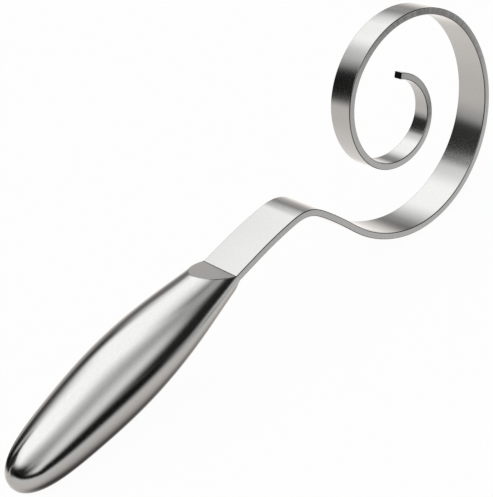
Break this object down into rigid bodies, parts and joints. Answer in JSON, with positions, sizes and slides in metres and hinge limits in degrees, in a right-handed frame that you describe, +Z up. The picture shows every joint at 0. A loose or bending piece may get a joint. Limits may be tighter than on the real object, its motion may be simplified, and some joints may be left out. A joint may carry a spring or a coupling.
{
  "type": "dough whisk",
  "caption": "Steel dough whisk: a flat bar bent at an elbow into an open tapered spiral, on a rounded hollow handle with slanted flats.",
  "frame": {"origin": "middle of the footprint, on the surface that the whisk rests on", "axes": "+Z up; +X along the whisk from the handle's butt to the spiral; the spiral is coiled in the XZ plane and +Y is across the bar"},
  "size_m": [0.2598, 0.0315, 0.0928],
  "materials": {
    "bar_steel": "satin stainless steel",
    "shell_steel": "satin stainless steel",
    "inner_steel": "machined steel, unpolished",
    "core_resin": "cast resin filler"
  },
  "bodies": {
    "root": {"whisk_bar": "bar_steel", "handle_shell_upper": "shell_steel", "handle_shell_lower": "shell_steel", "tang_collar": "inner_steel", "tang_pin_front": "inner_steel", "tang_pin_rear": "inner_steel", "handle_core": "core_resin"}
  },
  "joints": []
}
